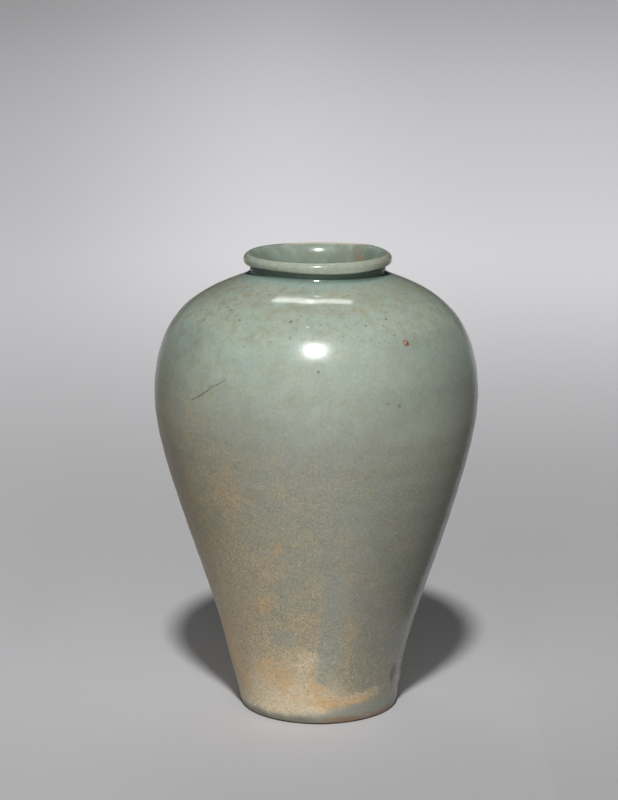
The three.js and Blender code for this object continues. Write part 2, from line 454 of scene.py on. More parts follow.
foot_inside = FOOT_RADIUS - FOOT_WIDTH
foot_outline = [
    *bow(at(foot_inside, FOOT_BEVEL), at(foot_inside, 0), at(foot_inside + FOOT_BEVEL, 0), BEVEL_STEPS),
    *bow(at(FOOT_RADIUS - FOOT_BEVEL, 0), at(FOOT_RADIUS, 0), at(FOOT_RADIUS, FOOT_BEVEL), BEVEL_STEPS),
    glazed["foot"][0],
    *clay["foot"],
    at(foot_inside, clay["foot"][-1].z),
]
slab_edge = clay["base"][0]
slab_underside = [at(slab_edge.x * i / SLAB_STEPS, slab_edge.z) for i in range(SLAB_STEPS)]

foot = turned("turned_foot", foot_outline)
slab = turned("base_slab", slab_underside + clay["base"] + clay["floor"])
lower_section = turned("lower_section", clay["lower"] + clay["inner lower"])
shoulder_section = turned("shoulder_section", clay["shoulder"] + clay["inner shoulder"])
neck_section = turned("neck_section", clay["neck"] + clay["inner neck"])
lip_section = turned("lip_section", joined(clay, ["lip", "throat"]))

# %% Coats of glass
OUTSIDE = ["foot", "base", "lower", "shoulder", "neck", "lip"]
INSIDE = ["throat", "inner neck", "inner shoulder", "inner lower", "floor"]


def coat(name, stretches):
    """A coat of glass: the glazed face and, back along it, the face of the clay."""
    return turned(name, joined(clay, stretches)[::-1] + joined(glazed, stretches))


outer_coat = coat("outer_celadon_coat", OUTSIDE)
inner_coat = coat("inner_celadon_coat", INSIDE)

# %% [markdown]
# ## A bench for finishes
# Finishes are node trees. Adding nodes one by one in code is long to read, so two small classes help: a wire
# is an output socket that takes part in sums, and a finish is a material that adds any node by its type.
# Places are read from Object coordinates, in millimetres, so a mark on the jar is written as its real size.


# %% Wires
class Wire:
    """An output socket. Sums of wires and numbers add the Math nodes that they need."""

    def __init__(self, finish, socket):
        self.finish = finish
        self.socket = socket

    def math(self, operation, *values):
        return self.finish.node("ShaderNodeMath", {"operation": operation}, dict(enumerate(values)))

    def __add__(self, other):
        return self.math("ADD", self, other)

    def __radd__(self, other):
        return self.math("ADD", other, self)

    def __sub__(self, other):
        return self.math("SUBTRACT", self, other)

    def __rsub__(self, other):
        return self.math("SUBTRACT", other, self)

    def __mul__(self, other):
        return self.math("MULTIPLY", self, other)

    def __rmul__(self, other):
        return self.math("MULTIPLY", other, self)

    def __truediv__(self, other):
        return self.math("DIVIDE", self, other)

    def absolute(self):
        return self.math("ABSOLUTE", self)

    def fade(self, start, end):
        """0 up to start, 1 from end on, and smooth between; start may be the larger one."""
        sockets = {"Value": self, "From Min": start, "From Max": end}
        return self.finish.node("ShaderNodeMapRange", {"interpolation_type": "SMOOTHSTEP"}, sockets)


print("wires can be added, subtracted, multiplied, divided and faded")


# %% Finishes
class Finish:
    """A material with its Principled shader, and one method that adds any node."""

    def __init__(self, name, roughness):
        self.material = bpy.data.materials.new(name)
        self.material.use_nodes = True
        self.tree = self.material.node_tree
        self.shader = self.tree.nodes["Principled BSDF"]
        self.feed("Roughness", roughness)
        metres = self.node("ShaderNodeTexCoord", {}, {}, "Object")
        self.place = self.vector("SCALE", metres, {"Scale": 1 / MM})
        self.height = self.node("ShaderNodeSeparateXYZ", {}, {0: self.place}, "Z")
        self.flat = self.vector("MULTIPLY", self.place, {1: (1, 1, 0)})
        self.radius = self.vector("LENGTH", self.flat, {}, "Value")

    def node(self, kind, settings, sockets, out=0):
        node = self.tree.nodes.new(kind)
        for name, value in settings.items():
            setattr(node, name, value)
        for key, value in sockets.items():
            self.plug(value, node.inputs[key])
        return Wire(self, node.outputs[out])

    def plug(self, value, socket):
        if isinstance(value, Wire):
            self.tree.links.new(value.socket, socket)
        else:
            socket.default_value = value

    def feed(self, name, value):
        self.plug(value, self.shader.inputs[name])

    def vector(self, operation, first, others, out="Vector"):
        return self.node("ShaderNodeVectorMath", {"operation": operation}, {0: first, **others}, out)

    def blend(self, share, under, over):
        """One colour laid over another, by a share from 0 to 1."""
        return self.node("ShaderNodeMix", {"data_type": "RGBA"}, {0: share, 6: under, 7: over}, 2)

    def grain(self, size, detail=2, stretch=(1, 1, 1)):
        """Noise from 0 to 1, with lumps of about that size in millimetres."""
        spread = self.node("ShaderNodeMapping", {}, {"Vector": self.place, "Scale": stretch})
        return self.node("ShaderNodeTexNoise", {}, {"Vector": spread, "Scale": 1 / size, "Detail": detail})

    def dots(self, pitch):
        """Distance in millimetres to the nearest of many scattered points."""
        return self.node("ShaderNodeTexVoronoi", {}, {"Vector": self.place, "Scale": 1 / pitch}) * pitch

    def turn_from(self, angle):
        """Degrees round the jar from a direction; the front is 0 and the right side 90."""
        way = (math.sin(math.radians(angle)), -math.cos(math.radians(angle)), 0)
        facing = self.vector("NORMALIZE", self.flat, {})
        cosine = self.vector("DOT_PRODUCT", facing, {1: way}, "Value")
        return cosine.math("ARCCOSINE", cosine) * math.degrees(1)

    def blot(self, centre, width, height, ragged=0.0):
        """A soft-edged spot: 1 inside, 0 outside, with half its width and height in millimetres."""
        away = self.vector("SUBTRACT", self.place, {1: centre})
        shares = self.vector("MULTIPLY", away, {1: (1 / width, 1 / width, 1 / height)})
        reach = self.vector("LENGTH", shares, {}, "Value")
        if ragged:
            reach = reach + ragged * (self.grain(min(width, height) * 0.6) - 0.5)
        return reach.fade(1.2, 0.6)

    def bump(self, height, depth):
        """Fine relief: a height from 0 to 1, and how deep it is in millimetres."""
        normal = self.node("ShaderNodeBump", {}, {"Height": height, "Distance": depth * MM}, "Normal")
        self.feed("Normal", normal)


print("a finish draws grain, dots, blots and relief in millimetres")


# %% Paints and places on the wall
def paint(red, green, blue):
    """A colour written as on a screen, from 0 to 255, as the light that a shader works with."""
    def light(level):
        share = level / 255
        return share / 12.92 if share <= 0.04045 else ((share + 0.055) / 1.055) ** 2.4
    return (light(red), light(green), light(blue), 1)


def on_wall(angle, height):
    """The point on the glazed outside at an angle and a height, in millimetres."""
    ring = level(joined(glazed, OUTSIDE), height * MM)
    turn = math.radians(angle)
    return by_hand(Vector((ring.x * math.sin(turn), -ring.x * math.cos(turn), ring.z))) / MM


def scored(finish, start, end, width):
    """A line scored in the glaze between two points: 1 on it, 0 past its width."""
    run = end - start
    along = finish.vector("SUBTRACT", finish.place, {1: start})
    share = finish.vector("DOT_PRODUCT", along, {1: run / run.length_squared}, "Value")
    share = finish.node("ShaderNodeClamp", {}, {"Value": share})
    nearest = finish.vector("SCALE", run, {"Scale": share})
    away = finish.vector("DISTANCE", along, {1: nearest}, "Value")
    return (away + 0.5 * width * (finish.grain(1.2) - 0.5)).fade(width, 0.4 * width)


print("the belly's front lies at", [round(v, 2) for v in on_wall(0, 91)], "mm")

# %% [markdown]
# ## Outer celadon: the ground
# The glaze is wood ash and clay that melted to a green-grey glass. It is greener and clearer above the belly,
# greyer and duller below. It pooled to a blue-green where the neck meets the shoulder, and a deep green under
# the lip is partly that pooled glass and partly painted shade. It is thin and spotted on the lip, and the
# shoulder's two flanks are darkened with painted shade.
# A painted picture of it would be flat and fixed to one side. Layers of noise and fades go all the way round.
# A pair of numbers below is where a fade starts and where it is full: heights or sizes in millimetres, or
# degrees round the jar.

# %% Ground colour of the outer celadon
SEA_GREEN = paint(161, 172, 157)
PALE_GREEN = paint(171, 180, 167)
GREY_GREEN = paint(151, 154, 143)
DULL_BAND = (109, 77)

outer = Finish("outer_celadon", roughness=0.23)
clouds = outer.grain(26, detail=3)
mottle = outer.grain(4, detail=4)
fine = outer.grain(0.9, detail=3)

dulled = (outer.height + 20 * (clouds - 0.5)).fade(*DULL_BAND)
ground = outer.blend(clouds.fade(0.4, 0.7) * 0.6, SEA_GREEN, PALE_GREEN)
ground = outer.blend(dulled, ground, GREY_GREEN)
print("the ground starts with", len(outer.tree.nodes), "nodes")

# %% Blue clouds and olive mottle
BLUE_GREEN = paint(158, 179, 170)
OLIVE_GREEN = paint(150, 153, 128)
BLUE_BAND = (98, 108)
OLIVE_BAND = (108, 118)
OLIVE_SIDE = -65
OLIVE_TURN = (60, 20)

blue_clouds = outer.grain(10, detail=3).fade(0.46, 0.66) * outer.height.fade(*BLUE_BAND)
ground = outer.blend(blue_clouds * 0.5, ground, BLUE_GREEN)
olive_side = outer.turn_from(OLIVE_SIDE).fade(*OLIVE_TURN)
olive_share = 0.2 + 0.3 * outer.height.fade(*OLIVE_BAND) + 0.25 * olive_side
olive_mottle = outer.grain(2.4, detail=4).fade(0.43, 0.7) * olive_share
ground = outer.blend(olive_mottle, ground, OLIVE_GREEN)
print("clouds and mottle bring it to", len(outer.tree.nodes), "nodes")

# %% Pool under the lip, with painted shade
POOL_GREEN = paint(143, 162, 153)
DEEP_POOL_AND_SHADE_GREEN = paint(84, 102, 92)
POOL_START = (123.3, 125)
POOL_END = (128.5, 126.5)
DEEP_START = (124.0, 126.2)
DEEP_END = (128.1, 127.5)
DEEP_RADIUS = (20.5, 19.5)
RIGHT_DEEP_SIDE = 60
LEFT_DEEP_SIDE = -60

pooled = (outer.height + 2 * (mottle - 0.5)).fade(*POOL_START) * outer.height.fade(*POOL_END)
ground = outer.blend(pooled, ground, POOL_GREEN)
# painted shade: the deep green band right under the lip is partly pooled glass and partly painted shade
deep_band_lift = 0.7 * outer.turn_from(RIGHT_DEEP_SIDE).fade(50, 10) - 0.25 * outer.turn_from(LEFT_DEEP_SIDE).fade(55, 15)
deep_pool_and_shade = (outer.height + deep_band_lift).fade(*DEEP_START) * outer.radius.fade(*DEEP_RADIUS)
deep_pool_and_shade = deep_pool_and_shade * outer.height.fade(*DEEP_END)
ground = outer.blend(deep_pool_and_shade * 0.95, ground, DEEP_POOL_AND_SHADE_GREEN)
print("the pool brings it to", len(outer.tree.nodes), "nodes")

# %% Lip and neck
TAN = paint(160, 153, 130)
LIP_GREY = paint(158, 164, 147)
LIP_EDGE_PALE_AND_HIGHLIGHT = paint(196, 198, 180)
LIP_BAND = (127, 128)
LIP_LINE_START = (127.5, 127.7)
LIP_LINE_END = (128.4, 127.9)
LIP_TAN_SIDE = 85
NECK_START = (116.5, 120.5)
NECK_END = (124.2, 122.6)

on_lip = outer.height.fade(*LIP_BAND)
ground = outer.blend(on_lip * mottle.fade(0.35, 0.65) * 0.45, ground, LIP_GREY)
lip_spots = on_lip * outer.grain(1.4, detail=3).fade(0.5, 0.68)
ground = outer.blend(lip_spots * 0.3, ground, TAN)
# the pale line along the lip's lower edge is partly the glaze's edge and partly a painted highlight
lip_edge_glaze_and_highlight = outer.height.fade(*LIP_LINE_START) * outer.height.fade(*LIP_LINE_END)
ground = outer.blend(lip_edge_glaze_and_highlight * mottle.fade(0.3, 0.6) * 0.6, ground, LIP_EDGE_PALE_AND_HIGHLIGHT)
lip_tan = on_lip * outer.turn_from(LIP_TAN_SIDE).fade(50, 15)
ground = outer.blend(lip_tan * 0.6, ground, TAN)
neck_band = outer.height.fade(*NECK_START) * outer.height.fade(*NECK_END)
tan_streaks = outer.grain(4.5, detail=4, stretch=(1, 1, 1.5)).fade(0.38, 0.68)
ground = outer.blend(neck_band * tan_streaks * 0.5, ground, TAN)
print("lip and neck bring it to", len(outer.tree.nodes), "nodes")

# %% Painted shade on the flanks, and fine mottle
RIGHT_FLANK = (78, 48)
LEFT_FLANK = (52, 34)
FLANK_START = (86, 97)
FLANK_END = (115.5, 110.5)

# painted shade: both flanks of the shoulder are darkened, the right one further round
uneven_turn = 14 * (clouds - 0.5)
right_flank_shade = (outer.turn_from(90) + uneven_turn).fade(*RIGHT_FLANK)
left_flank_shade = (outer.turn_from(-90) + uneven_turn).fade(*LEFT_FLANK)
shaded = (right_flank_shade + left_flank_shade) * outer.height.fade(*FLANK_START) * outer.height.fade(*FLANK_END)
value = (1 + 0.24 * (mottle - 0.5) + 0.3 * (fine - 0.5)) * (1 - 0.2 * shaded)
ground = outer.vector("SCALE", ground, {"Scale": value})
print("the whole ground has", len(outer.tree.nodes), "nodes")

# %% [markdown]
# ## Outer celadon: toasted by the fire
# Low on the left the air of the kiln reached the glaze and turned its iron to ochre, in grains as fine as
# sand. It is strongest at the foot and climbs the left side. The mask is the distance round the jar from the
# middle of that side, against a reach that widens towards the foot. The grains are noise, and more of them
# turn ochre where the mask is strong.

# %% Toasted side
TOASTED_SIDE = -75
TOASTED_REACH = 133
TOASTED_LOSS = 1.35
TOASTED_EDGE = (-75, 95)
LEFT_SIDE = -62
LEFT_RISE = 13
BELLY_BAND = (97, 72)

warped = outer.grain(18, detail=3) - 0.5
patchy = outer.grain(6, detail=3) - 0.5
toasted_reach = TOASTED_REACH - TOASTED_LOSS * outer.height
side = toasted_reach - outer.turn_from(TOASTED_SIDE) + 80 * warped + 60 * patchy
left_rise = LEFT_RISE * outer.turn_from(LEFT_SIDE).fade(45, 10)
below_belly = (outer.height - left_rise).fade(*BELLY_BAND)
toasted = side.fade(*TOASTED_EDGE) * below_belly
print("the toasted side brings it to", len(outer.tree.nodes), "nodes")

# %% Toasted grains
OLIVE = paint(146, 142, 120)
TOAST = paint(197, 173, 134)

sand = outer.grain(0.42, detail=2).fade(0.3, 0.7)
clumps = outer.grain(2.4, detail=2) - 0.5
sandy = outer.blend(toasted * 0.7, ground, OLIVE)
toast_grains = (sand + 0.9 * toasted + 0.9 * clumps + 0.6 * patchy).fade(0.6, 1.65) * below_belly
toasted_colour = outer.blend(toast_grains * 0.9, sandy, TOAST)
print("the toasted grains bring it to", len(outer.tree.nodes), "nodes")

# %% [markdown]
# ## Outer celadon: the foot
# Above the bare foot the glaze thinned to a cream and orange band, and a grey-green tongue runs down the
# front through it. The lower wall is painted darker and greyer on the right, and a little on the left, as
# painted shade. Just above the edge the glass gathered again in a grey-green roll, with rust where iron
# gathered too. Bands by height would be too neat, so noise bends them, and the
# larger patches are set one by one. Fine grains of sand lie on the whole wall below the belly.

# %% Painted side shade and cream band
LOW_SHADE_GREY = paint(104, 104, 96)
CREAM = paint(232, 213, 180)
LOW_RIGHT_SHADE_SIDE = 48
LOW_RIGHT_SHADE_TURN = (44, 16)
LOW_RIGHT_SHADE_BAND = (88, 20)
LOW_LEFT_SHADE_SIDE = -58
LOW_LEFT_SHADE_TURN = (34, 12)
LOW_LEFT_SHADE_BAND = (75, 50)
CREAM_SIDE = -27
CREAM_TURN = (75, 12)
CREAM_HEIGHT = 11
CREAM_PEAK = 15
CREAM_PEAK_SIDE = -20

# painted shade: the lower wall is darker and greyer on the right, and a little on the left
low_right_shade = outer.turn_from(LOW_RIGHT_SHADE_SIDE).fade(*LOW_RIGHT_SHADE_TURN) * outer.height.fade(*LOW_RIGHT_SHADE_BAND) * 0.5
low_left_shade = outer.turn_from(LOW_LEFT_SHADE_SIDE).fade(*LOW_LEFT_SHADE_TURN) * outer.height.fade(*LOW_LEFT_SHADE_BAND)
foot_colour = outer.blend(low_right_shade + low_left_shade * 0.15, toasted_colour, LOW_SHADE_GREY)
bend = 3.2 * (outer.grain(5, detail=3) - 0.5)
front_left = outer.turn_from(CREAM_SIDE).fade(*CREAM_TURN)
cream_top = CREAM_HEIGHT + CREAM_PEAK * outer.turn_from(CREAM_PEAK_SIDE).fade(50, 12)
cream_band = ((outer.height + 2 * bend) / cream_top).fade(1, 0.25) * front_left
foot_colour = outer.blend(cream_band * (0.5 + 0.36 * sand), foot_colour, CREAM)
print("smoke and cream bring it to", len(outer.tree.nodes), "nodes")

# %% Patches over the foot
ORANGE = paint(209, 165, 106)
# degrees from the front, height, half width, half height in millimetres, strength
PALE_PATCHES = (
    (-6, 19.5, 4.5, 3.5, 1.0),
    (27, 7.4, 4.2, 1.5, 0.85),
    (41, 8.4, 3.2, 1.5, 0.5),
)
ORANGE_PATCHES = (
    (-35, 72, 4.8, 7.2, 0.25),
    (-29, 36.3, 2.88, 2.64, 0.6),
    (-16.9, 54.6, 1.92, 2.64, 0.45),
    (12.1, 44.3, 4.08, 2.4, 0.25),
    (19.2, 28.5, 3.12, 2.64, 0.3),
    (-33, 16, 5.28, 4.56, 0.6),
    (-22, 12.5, 4.08, 4.8, 0.6),
    (-4.5, 16.5, 2.16, 1.92, 0.5),
    (-0.5, 11.5, 3.36, 3.36, 0.7),
    (-1, 7.4, 4.32, 1.92, 0.6),
    (-66, 21, 4.8, 10.2, 0.75),
    (-58, 11, 4.08, 5.28, 0.7),
    (8, 6.2, 4.32, 1.8, 0.9),
    (19.2, 6.3, 4.8, 1.56, 0.65),
    (31, 7, 4.08, 1.8, 0.6),
    (42, 7.6, 3.12, 1.56, 0.4),
)

for angle, height, width, tall, strength in PALE_PATCHES:
    patch = outer.blot(on_wall(angle, height), width, tall, ragged=2)
    foot_colour = outer.blend(patch * (strength * (0.2 + 0.5 * sand)), foot_colour, CREAM)
for angle, height, width, tall, strength in ORANGE_PATCHES:
    patch = outer.blot(on_wall(angle, height), width, tall, ragged=2.4)
    foot_colour = outer.blend(patch * (strength * (0.35 + 0.55 * sand)), foot_colour, ORANGE)
print(len(PALE_PATCHES) + len(ORANGE_PATCHES), "patches bring it to", len(outer.tree.nodes), "nodes")

# %% Grey tongue
TONGUE_TOP = on_wall(9, 44)
TONGUE_TIP = on_wall(6, 15)
TONGUE_WIDTH = 4.6
GREY_PATCH = on_wall(-20, 26.7)

broken = (0.6 + 2 * clumps + 2 * patchy).fade(-0.1, 0.7)
tongue = scored(outer, TONGUE_TOP, TONGUE_TIP, TONGUE_WIDTH) * broken
foot_colour = outer.blend(tongue * 0.8, foot_colour, GREY_GREEN)
grey_patch = outer.blot(GREY_PATCH, 4, 3, ragged=2.4)
foot_colour = outer.blend(grey_patch * 0.6, foot_colour, GREY_GREEN)
print("the tongue brings it to", len(outer.tree.nodes), "nodes")

# %% Grains of sand
GREEN_GRAIN = paint(138, 142, 122)
PALE_GRAIN = paint(200, 194, 172)
DARK_GRAIN = paint(106, 104, 92)

sanded = below_belly * (0.45 + 0.55 * toasted) * (1 - 0.45 * cream_band)
green_grains = outer.grain(1.1, detail=4).fade(0.48, 0.62) * sanded
foot_colour = outer.blend(green_grains * 0.4, foot_colour, GREEN_GRAIN)
pale_grains = outer.grain(0.48, detail=2).fade(0.54, 0.7) * sanded
foot_colour = outer.blend(pale_grains * 0.75, foot_colour, PALE_GRAIN)
dark_grains = outer.grain(0.5, detail=2).fade(0.46, 0.3) * sanded
foot_colour = outer.blend(dark_grains * 0.65, foot_colour, DARK_GRAIN)
print("the grains bring it to", len(outer.tree.nodes), "nodes")

# %% Rolled edge
FOOT_GREEN = paint(132, 139, 130)
FOOT_DARK = paint(96, 96, 82)
RUST = paint(140, 108, 80)
ROLL_BAND = (4.0, 0.9)
RIGHT_ROLL_SIDE = 40
RIGHT_ROLL_RISE = 2.5
DARK_SIDE = -42
DARK_TURN = (64, 26)
DARK_BAND = (3.0, 1.2)
RUST_SIDE = 38
RUST_TURN = (46, 20)
RUST_BAND = (3.0, 1.0)

right_rise = RIGHT_ROLL_RISE * outer.turn_from(RIGHT_ROLL_SIDE).fade(75, 5)
rolled_edge = (outer.height + 1.4 * bend - right_rise).fade(*ROLL_BAND)
foot_colour = outer.blend(rolled_edge * (0.45 + 0.4 * mottle + 0.2 * sand), foot_colour, FOOT_GREEN)
dark_edge = (outer.height + 0.8 * bend).fade(*DARK_BAND) * outer.turn_from(DARK_SIDE).fade(*DARK_TURN)
foot_colour = outer.blend(dark_edge * (0.35 + 0.5 * mottle), foot_colour, FOOT_DARK)
rust = (outer.height + 1.2 * bend).fade(*RUST_BAND) * outer.turn_from(RUST_SIDE).fade(*RUST_TURN)
foot_colour = outer.blend(rust * mottle.fade(0.25, 0.55) * 0.85, foot_colour, RUST)
print("the rolled edge brings it to", len(outer.tree.nodes), "nodes")

# %% Streak and painted glints at the foot
STREAK = paint(92, 74, 58)
PAINTED_GLINT = paint(228, 224, 210)
FOOT_MARKS = (
    # degrees from the front, height, half width, half height in millimetres, raggedness, strength, colour
    (61.5, 11.8, 1.7, 3.2, 0.7, 0.85, STREAK),
    (63.5, 8.2, 1.4, 1.7, 0.8, 0.55, RUST),
    # painted highlights: the two pale glints below are small painted reflections on the glaze
    (-57, 3.4, 0.4, 0.4, 0.4, 0.8, PAINTED_GLINT),
    (-52, 3.0, 0.4, 0.4, 0.4, 0.8, PAINTED_GLINT),
)

for angle, height, width, tall, ragged, strength, colour in FOOT_MARKS:
    mark = outer.blot(on_wall(angle, height), width, tall, ragged)
    foot_colour = outer.blend(mark * strength, foot_colour, colour)
print("the foot brings it to", len(outer.tree.nodes), "nodes")

# %% [markdown]
# ## Outer celadon: specks and scratches
# Iron in the clay bled through as dark specks, most of them on the shoulder. Scattered points in space that
# pass close to the surface make many small ones of all sizes. The larger marks are set one by one where they
# are, and a scratch is a row of short scored lines.

# %% Flecks and iron specks
IRON = paint(96, 84, 66)
FLECK = paint(130, 124, 98)
SHOULDER_START = (100, 118)
SHOULDER_END = (127.6, 126)
SPECKS = (
    # degrees from the front, height, half width in millimetres
    (31.9, 116.9, 0.45), (29.2, 115.5, 0.3), (32.4, 113.1, 0.3), (21, 115.8, 0.4),
    (24.6, 96, 0.35), (29.2, 95.1, 0.5), (0.6, 105.1, 0.5), (-63.6, 116.9, 0.4),
    (-55.1, 115.1, 0.4), (-35.6, 116.5, 0.45), (-44.6, 118.3, 0.5), (-11.5, 117, 0.5),
)

on_shoulder = outer.height.fade(*SHOULDER_START) * outer.height.fade(*SHOULDER_END)
fleck_share = 0.08 + 0.6 * on_shoulder * mottle.fade(0.42, 0.66)
flecks = (outer.dots(1.7) + 0.5 * (fine - 0.5)).fade(0.44, 0.15) * fleck_share
marked = outer.blend(flecks, foot_colour, FLECK)
iron_dots = (outer.dots(4.6) + 0.4 * (fine - 0.5)).fade(0.42, 0.15) * (0.12 + 0.33 * on_shoulder)
marked = outer.blend(iron_dots, marked, IRON)
for angle, height, size in SPECKS:
    marked = outer.blend(outer.blot(on_wall(angle, height), size, size, 0.9) * 0.55, marked, IRON)
print(len(SPECKS), "specks and many flecks bring it to", len(outer.tree.nodes), "nodes")

# %% Rust spot and pale pit
SPOT_RUST = paint(142, 92, 60)
SPOT_DARK = paint(92, 66, 46)
SPOT_PALE = paint(200, 176, 148)
PIT_PALE = paint(206, 206, 186)
PIT = on_wall(-3.9, 115.9)
SPOT = on_wall(36.2, 110.9)
SPOT_SHADE = SPOT + Vector((0.35, 0.2, -0.2))
SPOT_MIDDLE = SPOT + Vector((-0.2, 0, 0.1))

marked = outer.blend(outer.blot(PIT, 0.5, 0.5) * 0.8, marked, PIT_PALE)
marked = outer.blend(outer.blot(SPOT, 1.1, 1.1, 1.4) * 0.75, marked, SPOT_RUST)
marked = outer.blend(outer.blot(SPOT_SHADE, 0.5, 0.6, 0.8) * 0.7, marked, SPOT_DARK)
marked = outer.blend(outer.blot(SPOT_MIDDLE, 0.4, 0.4, 0.4) * 0.7, marked, SPOT_PALE)
print("the rust spot brings it to", len(outer.tree.nodes), "nodes")

# %% Scratches
SCRATCH = (
    # degrees from the front, height, half width in millimetres
    (-48.1, 94.9, 0.26), (-44.4, 96.2, 0.36), (-42.3, 97.3, 0.3), (-40.6, 98.1, 0.22),
    (-38.9, 99.4, 0.2), (-36.2, 100.3, 0.2), (-33.4, 101.7, 0.2),
)
PALE_SCRATCH = (on_wall(-17.8, 95.3), on_wall(-11.2, 94.3))

for (angle, height, width), (end_angle, end_height, _) in zip(SCRATCH, SCRATCH[1:]):
    line = scored(outer, on_wall(angle, height), on_wall(end_angle, end_height), width)
    marked = outer.blend(line * 0.6, marked, IRON)
pale_line = scored(outer, *PALE_SCRATCH, width=0.3)
marked = outer.blend(pale_line * 0.12, marked, PIT_PALE)
print("the marks bring it to", len(outer.tree.nodes), "nodes")

# %% [markdown]
# ## The lip's worn crest
# Glass runs thin over an edge, and years of handling wear it. The crest shows a pale line, and cream clay at
# the back. The wear belongs to both coats, so one function draws it on each, by the radius of the crest.

# %% Worn crest of the lip
WORN_CREAM = paint(220, 204, 174)
CREST_SPREAD = 0.85
CREST_BAND = (129.4, 129.9)
THIN_BAND = (129.9, 130.35)
WORN_SIDE = 172


def worn_crest(finish, colour):
    """The colour with the worn back of the lip's crest laid over it."""
    wander = 0.5 * (finish.grain(3, detail=3) - 0.5)
    off_crest = (finish.radius - CREST_RADIUS / MM + 0.2 + wander).absolute()
    worn = off_crest.fade(CREST_SPREAD, 0.1) * finish.height.fade(*CREST_BAND)
    back = (finish.turn_from(WORN_SIDE) + 30 * (finish.grain(6) - 0.5)).fade(42, 25)
    return finish.blend(worn * back * 0.85, colour, WORN_CREAM)


thinned = outer.height.fade(*THIN_BAND) * 0.2
outer_colour = worn_crest(outer, outer.blend(thinned, marked, PIT_PALE))
outer.feed("Base Color", outer_colour)
print("the worn crest brings it to", len(outer.tree.nodes), "nodes")

# %% Gloss and relief of the outer celadon
GLASSY_BAND = (113, 119)
DRY_LIP_BAND = (127.3, 128)
SHELTERED_BAND = (125.9, 126.6)
LOW_PEEL_BAND = (99, 106)
HIGH_PEEL_BAND = (112, 117)
RELIEF_DEPTH = 0.012

glassy = outer.height.fade(*GLASSY_BAND)
dry_lip = outer.height.fade(*DRY_LIP_BAND)
sheltered = deep_pool_and_shade * outer.height.fade(*SHELTERED_BAND)
dry = 0.1 * dry_lip + 0.35 * sheltered + 0.2 * toasted + 0.1 * rolled_edge
pits = outer.grain(0.5).fade(0.5, 0.7)
rough = 0.2 + 0.05 * mottle - 0.13 * glassy + dry + 0.04 * pits
outer.feed("Roughness", rough)
peel_share = 0.6 * outer.height.fade(*LOW_PEEL_BAND) + 0.4 * outer.height.fade(*HIGH_PEEL_BAND)
orange_peel = (0.3 * fine + 0.7 * mottle) * peel_share
relief = orange_peel + 0.8 * outer.grain(5, detail=1) + 0.25 * sand * toasted
outer.bump(relief, RELIEF_DEPTH)
print("outer celadon:", len(outer.tree.nodes), "nodes")

# %% [markdown]
# ## Inner celadon
# Inside, the glaze is the same glass, a little greyer, with pale and tan runs, and with an orange-brown stain
# and a dark run on the right of the throat. It needs fewer layers, because only the throat can be seen from
# outside.

# %% Ground colour of the inner celadon
INNER_GREEN = paint(150, 166, 153)
INNER_GREY = paint(142, 153, 138)
INNER_PALE = paint(168, 184, 170)
INNER_TAN = paint(150, 146, 122)

inner = Finish("inner_celadon", roughness=0.2)
inner_mottle = inner.grain(5, detail=4)
inner_colour = inner.blend(inner_mottle.fade(0.35, 0.65), INNER_GREEN, INNER_GREY)
inner_runs = inner.grain(1.8, detail=4, stretch=(1, 1, 0.6))
inner_colour = inner.blend(inner_runs.fade(0.5, 0.7) * 0.45, inner_colour, INNER_PALE)
inner_colour = inner.blend(inner_runs.fade(0.48, 0.32) * 0.35, inner_colour, INNER_TAN)
inner_colour = inner.blend(inner.dots(4).fade(0.42, 0.2) * 0.3, inner_colour, IRON)
print("the inner ground has", len(inner.tree.nodes), "nodes")

# %% Stain and dark run in the throat
STAIN = paint(170, 126, 80)
STAIN_BROWN = paint(128, 116, 92)
DARK_RUN = paint(96, 112, 98)
STAIN_PLACE = Vector((12.0, 11.0, 126.8))
STAIN_TOP = Vector((11.9, 13.3, 129.6))
STAIN_WIDTH = 2.6
DARK_PLACE = Vector((14.8, 8.5, 128.2))

inner_colour = inner.blend(inner.blot(DARK_PLACE, 3.4, 2.2, 1.8) * 0.4, inner_colour, DARK_RUN)
brown_run = scored(inner, STAIN_PLACE, STAIN_TOP, STAIN_WIDTH)
inner_colour = inner.blend(brown_run * 0.35, inner_colour, STAIN_BROWN)
spotty = 0.4 + 0.6 * inner.dots(1.1).fade(0.6, 0.3)
stained = inner.blot(STAIN_PLACE, 1.6, 1.2, 1.2) * spotty
inner_colour = inner.blend(stained * 0.85, inner_colour, STAIN)
inner.feed("Base Color", worn_crest(inner, inner_colour))
inner.feed("Roughness", 0.16 + 0.1 * inner_mottle)
inner.bump(inner_mottle, RELIEF_DEPTH)
print("inner celadon:", len(inner.tree.nodes), "nodes")

# %% [markdown]
# ## The clay
# Under the glaze the stoneware is grey and grainy. Where the fire touched it bare, on the foot, it turned
# rust-brown; its brown is painted darker, partly as painted shade for the contact shadow under the foot.
# Both are the same mixture of clay and sand, so one function makes them with different colours.


# %% Bare and covered clay
def stoneware(name, light_colour, dark_colour, sand_colour):
    """Unglazed stoneware: clouded clay with grains of sand, and a dry, grainy face."""
    finish = Finish(name, roughness=0.85)
    clouded = finish.grain(5, detail=4)
    grainy = finish.grain(0.5, detail=3)
    colour = finish.blend(clouded.fade(0.35, 0.65), light_colour, dark_colour)
    colour = finish.blend(grainy.fade(0.6, 0.7) * 0.5, colour, sand_colour)
    finish.feed("Base Color", colour)
    finish.feed("Roughness", 0.75 + 0.2 * grainy)
    finish.bump(grainy + 0.5 * clouded, depth=0.06)
    print(name, "has", len(finish.tree.nodes), "nodes")
    return finish


# the bare clay's colours are darkened partly as painted shade for the contact shadow under the foot's edge
bare_clay = stoneware("bare_clay", paint(100, 74, 52), paint(74, 54, 38), paint(134, 106, 80))
body_clay = stoneware("body_clay", paint(158, 152, 140), paint(138, 132, 120), paint(184, 174, 156))

